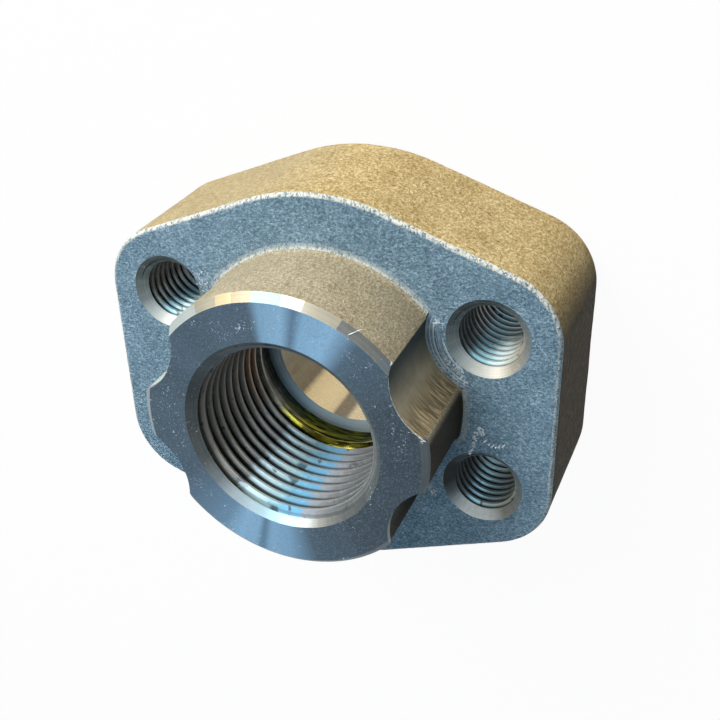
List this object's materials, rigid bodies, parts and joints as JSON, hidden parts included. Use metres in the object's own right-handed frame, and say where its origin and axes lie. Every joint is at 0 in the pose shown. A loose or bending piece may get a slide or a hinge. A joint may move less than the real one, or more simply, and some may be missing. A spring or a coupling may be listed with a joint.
{
  "type": "sae counter flange",
  "caption": "Forged steel counter flange with scalloped hub, large threaded port, through bore and tapped bolt holes in a rectangle.",
  "frame": {"origin": "centre of the flat mating face, on the port's axis", "axes": "+Z along the port towards its threaded mouth, +X along the long side of the bolt rectangle, +Y along its short side"},
  "size_m": [0.0816, 0.0708, 0.042],
  "materials": {
    "forged_steel": "shot-blasted forged carbon steel, bright where machined, lightly oiled"
  },
  "bodies": {
    "root": {"counter_flange": "forged_steel"}
  },
  "joints": []
}
